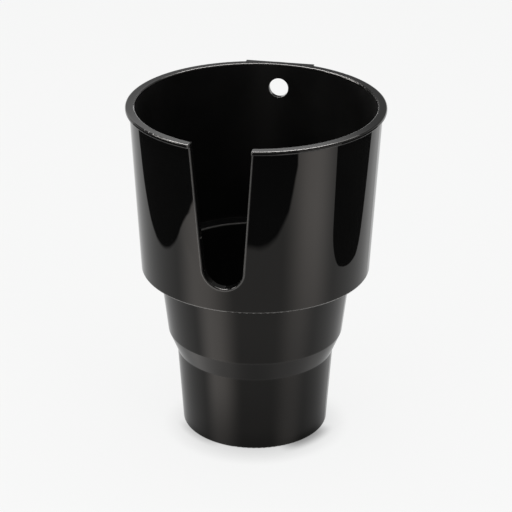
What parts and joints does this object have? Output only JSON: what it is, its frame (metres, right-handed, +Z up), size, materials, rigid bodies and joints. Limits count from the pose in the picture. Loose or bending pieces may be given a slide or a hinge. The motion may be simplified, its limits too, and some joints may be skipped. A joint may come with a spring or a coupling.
{
  "type": "car cup holder",
  "caption": "Moulded black plastic cup holder: a wide, lipped cup with a handle slot and a fixing hole, on a stepped, tapered foot that drops into a car's cup well.",
  "frame": {"origin": "centre of the base's underside, on the axis of the cup", "axes": "+Z up along the cup's axis, -Y towards the handle slot"},
  "size_m": [0.112, 0.1111, 0.1508],
  "materials": {
    "black_plastic": "polished cup, softer satin foot"
  },
  "bodies": {
    "root": {"cup_holder": "black_plastic"}
  },
  "joints": []
}
